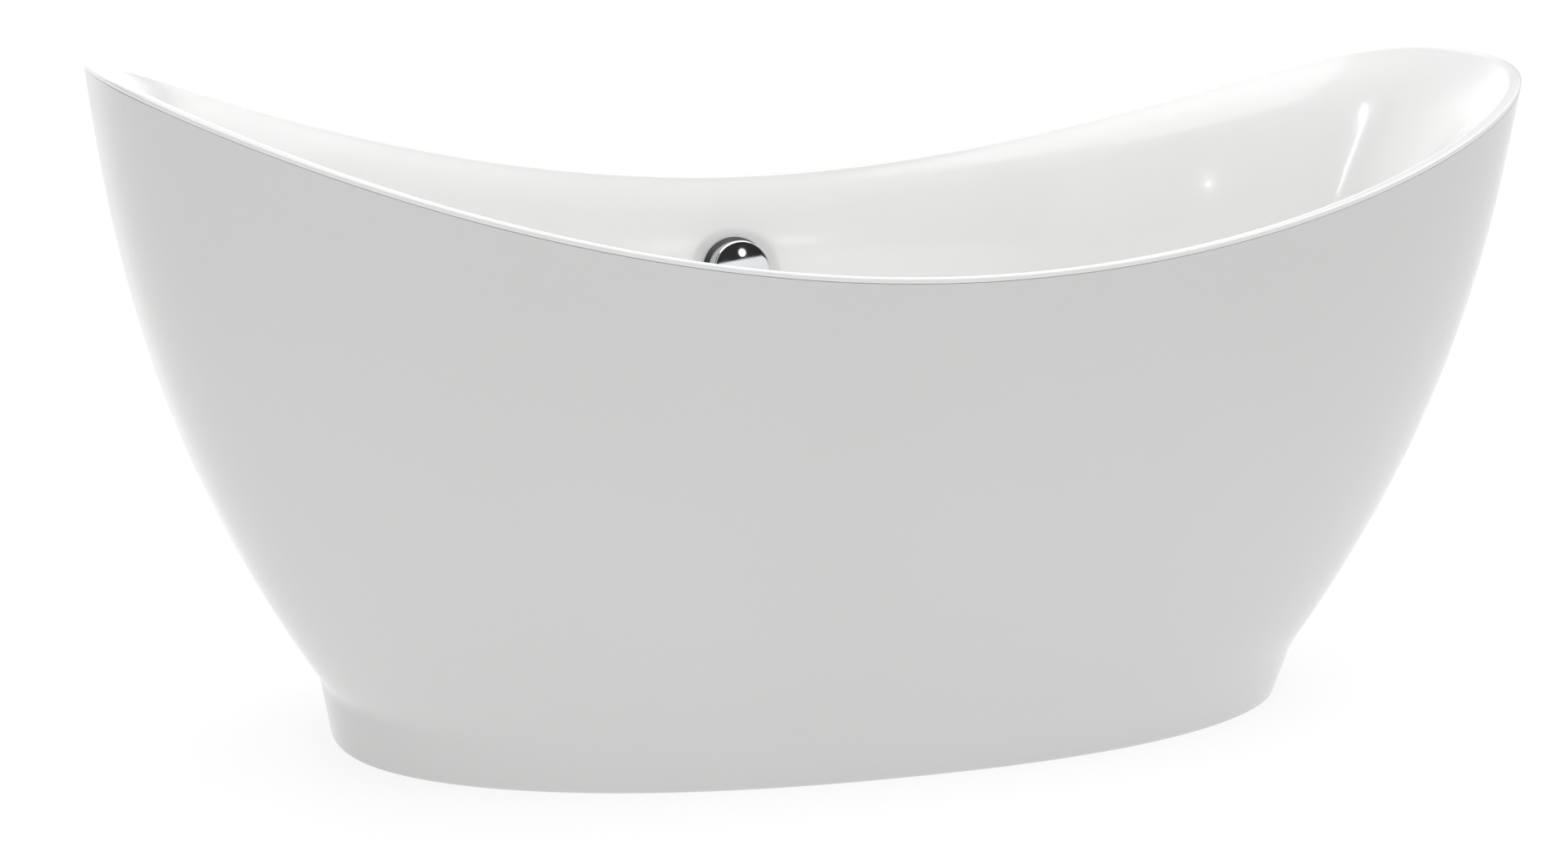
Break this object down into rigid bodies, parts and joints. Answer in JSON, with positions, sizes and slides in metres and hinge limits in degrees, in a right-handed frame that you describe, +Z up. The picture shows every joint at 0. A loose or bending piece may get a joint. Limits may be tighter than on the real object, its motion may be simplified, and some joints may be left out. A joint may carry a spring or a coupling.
{
  "type": "freestanding bathtub",
  "caption": "Double-slipper acrylic bath with a one-piece skirt on an upright plinth, levelling feet on a steel frame, and a knob-operated pop-up drain with overflow.",
  "frame": {"origin": "centre of the footprint, on the floor", "axes": "+X along the bath, +Y towards the wall with the overflow, +Z up"},
  "size_m": [1.7192, 0.8002, 0.784],
  "materials": {
    "shell_acrylic": "glossy white acrylic skirt",
    "basin_acrylic": "glossy white acrylic, glass-fibre backed behind",
    "chrome": "bright chrome plate",
    "frame_steel": "black painted welded steel",
    "zinc_steel": "bright zinc plate",
    "brass": "plain turned brass",
    "plywood": "bare plywood",
    "rubber": "black moulded rubber",
    "black_plastic": "black moulded plastic",
    "cable_plastic": "grey-black cable sheath",
    "white_plastic": "off-white flexible overflow pipe"
  },
  "bodies": {
    "bath": {"outer_shell": "shell_acrylic", "basin": "basin_acrylic", "base_board": "plywood", "frame_rail_front": "frame_steel", "frame_rail_rear": "frame_steel", "frame_cross_left": "frame_steel", "frame_cross_right": "frame_steel", "drain_flange": "chrome", "drain_flange_seal": "rubber", "drain_body_seal": "rubber", "drain_body": "black_plastic", "tailpiece": "brass", "tailpiece_slip_nut": "chrome", "lever_seal": "rubber", "cable_sheath": "cable_plastic", "overflow_body": "black_plastic", "overflow_gasket": "rubber", "overflow_clamp_flange": "chrome", "overflow_screw_left": "zinc_steel", "overflow_screw_right": "zinc_steel", "overflow_pipe": "white_plastic", "pipe_clamp_lower": "zinc_steel", "pipe_clamp_upper": "zinc_steel", "board_screw_1": "zinc_steel", "foot_1_weld_nut": "frame_steel", "foot_1_lock_nut": "zinc_steel", "board_screw_2": "zinc_steel", "foot_2_weld_nut": "frame_steel", "foot_2_lock_nut": "zinc_steel", "board_screw_3": "zinc_steel", "foot_3_weld_nut": "frame_steel", "foot_3_lock_nut": "zinc_steel", "board_screw_4": "zinc_steel", "foot_4_weld_nut": "frame_steel", "foot_4_lock_nut": "zinc_steel"},
    "knob": {"overflow_knob": "chrome", "knob_spindle": "black_plastic"},
    "plug": {"plug_cap": "chrome", "plug_seal": "rubber", "plug_stem": "brass", "plug_stem_nut": "brass"},
    "lever": {"lift_lever": "brass", "lever_arm": "black_plastic"},
    "cable_low_end": {"cable_wire_lower": "zinc_steel"},
    "cable_high_end": {"cable_wire_upper": "zinc_steel"},
    "foot_1_base": {"foot_1_pad": "black_plastic"},
    "foot_1_screw": {"foot_1_stud": "zinc_steel"},
    "foot_2_base": {"foot_2_pad": "black_plastic"},
    "foot_2_screw": {"foot_2_stud": "zinc_steel"},
    "foot_3_base": {"foot_3_pad": "black_plastic"},
    "foot_3_screw": {"foot_3_stud": "zinc_steel"},
    "foot_4_base": {"foot_4_pad": "black_plastic"},
    "foot_4_screw": {"foot_4_stud": "zinc_steel"}
  },
  "joints": [
    {"name": "knob_turn", "type": "hinge", "parent": "bath", "child": "knob", "pos_m": [0, 0.33955, 0.474], "axis": [0, -0.9744, 0.225], "range_deg": [0, 110]},
    {"name": "cable_high_pull", "type": "slide", "parent": "bath", "child": "cable_high_end", "axis": [0, 0.225, 0.9744], "range_m": [0, 0.0193]},
    {"name": "cable_low_pull", "type": "slide", "parent": "bath", "child": "cable_low_end", "axis": [0, 1, 0], "range_m": [0, 0.0193]},
    {"name": "lever_rock", "type": "hinge", "parent": "bath", "child": "lever", "pos_m": [0, -0.02, 0.1], "axis": [1, 0, 0], "range_deg": [0, 29.05]},
    {"name": "plug_lift", "type": "slide", "parent": "bath", "child": "plug", "axis": [0, 0, 1], "range_m": [0, 0.0101]},
    {"name": "foot_1_travel", "type": "slide", "parent": "bath", "child": "foot_1_base", "axis": [0, 0, -1], "range_m": [0, 0.0175]},
    {"name": "foot_1_turn", "type": "hinge", "parent": "foot_1_base", "child": "foot_1_screw", "pos_m": [-0.42, -0.15, 0.06], "axis": [0, 0, -1], "range_deg": [0, 3600]},
    {"name": "foot_2_travel", "type": "slide", "parent": "bath", "child": "foot_2_base", "axis": [0, 0, -1], "range_m": [0, 0.0175]},
    {"name": "foot_2_turn", "type": "hinge", "parent": "foot_2_base", "child": "foot_2_screw", "pos_m": [0.42, -0.15, 0.06], "axis": [0, 0, -1], "range_deg": [0, 3600]},
    {"name": "foot_3_travel", "type": "slide", "parent": "bath", "child": "foot_3_base", "axis": [0, 0, -1], "range_m": [0, 0.0175]},
    {"name": "foot_3_turn", "type": "hinge", "parent": "foot_3_base", "child": "foot_3_screw", "pos_m": [0.42, 0.15, 0.06], "axis": [0, 0, -1], "range_deg": [0, 3600]},
    {"name": "foot_4_travel", "type": "slide", "parent": "bath", "child": "foot_4_base", "axis": [0, 0, -1], "range_m": [0, 0.0175]},
    {"name": "foot_4_turn", "type": "hinge", "parent": "foot_4_base", "child": "foot_4_screw", "pos_m": [-0.42, 0.15, 0.06], "axis": [0, 0, -1], "range_deg": [0, 3600]}
  ],
  "couplings": [
    {"joint": "cable_high_pull", "follows": "knob_turn", "m_per_rad": 0.01},
    {"joint": "cable_low_pull", "follows": "knob_turn", "m_per_rad": 0.01},
    {"joint": "lever_rock", "follows": "knob_turn", "ratio": 0.26364},
    {"joint": "plug_lift", "follows": "knob_turn", "m_per_rad": 0.005209},
    {"joint": "foot_1_turn", "follows": "foot_1_travel", "rad_per_m": 3590.4},
    {"joint": "foot_2_turn", "follows": "foot_2_travel", "rad_per_m": 3590.4},
    {"joint": "foot_3_turn", "follows": "foot_3_travel", "rad_per_m": 3590.4},
    {"joint": "foot_4_turn", "follows": "foot_4_travel", "rad_per_m": 3590.4}
  ]
}
